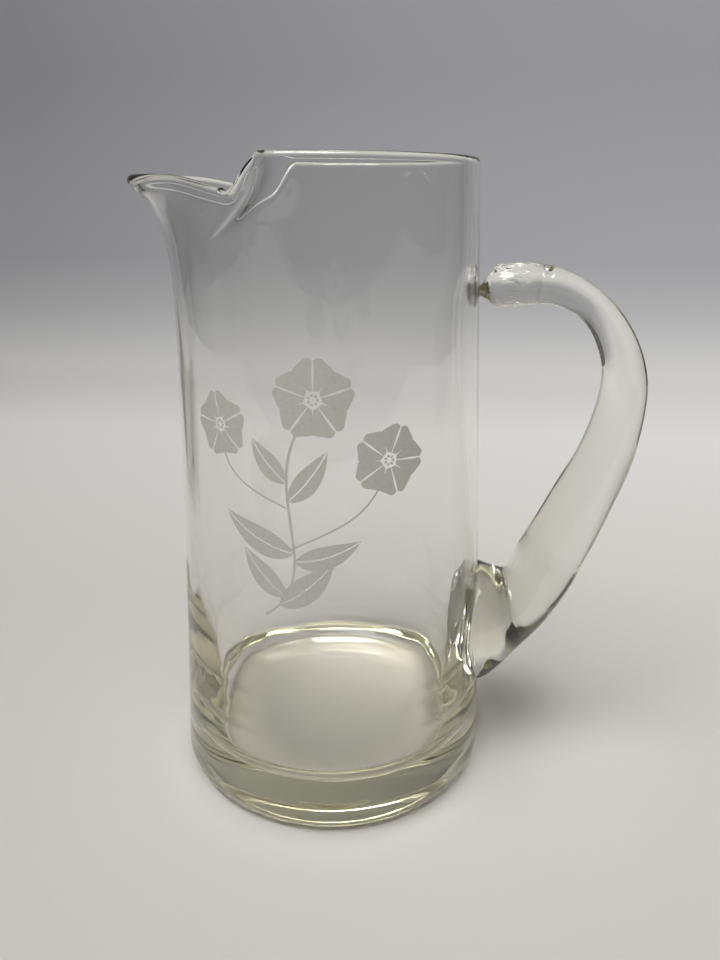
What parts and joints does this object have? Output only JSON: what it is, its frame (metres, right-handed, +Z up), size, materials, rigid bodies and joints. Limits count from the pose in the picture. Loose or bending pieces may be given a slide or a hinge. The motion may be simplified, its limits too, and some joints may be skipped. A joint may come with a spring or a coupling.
{
  "type": "glass pitcher",
  "caption": "Tapered blown-glass pitcher with a heavy base, a pinched and pulled pouring lip, and a solid glass rod handle welded to its wall.",
  "frame": {"origin": "centre of the flat underside, on the surface that the pitcher stands on", "axes": "+Z up along the body's axis, +X towards the handle, -X towards the pouring lip, +Y completes the right hand"},
  "size_m": [0.1676, 0.1122, 0.2104],
  "materials": {
    "clear_glass": "fire-polished clear glass with a faint olive tint where it is thick"
  },
  "bodies": {
    "root": {"blown_body": "clear_glass", "rod_handle": "clear_glass"}
  },
  "joints": []
}
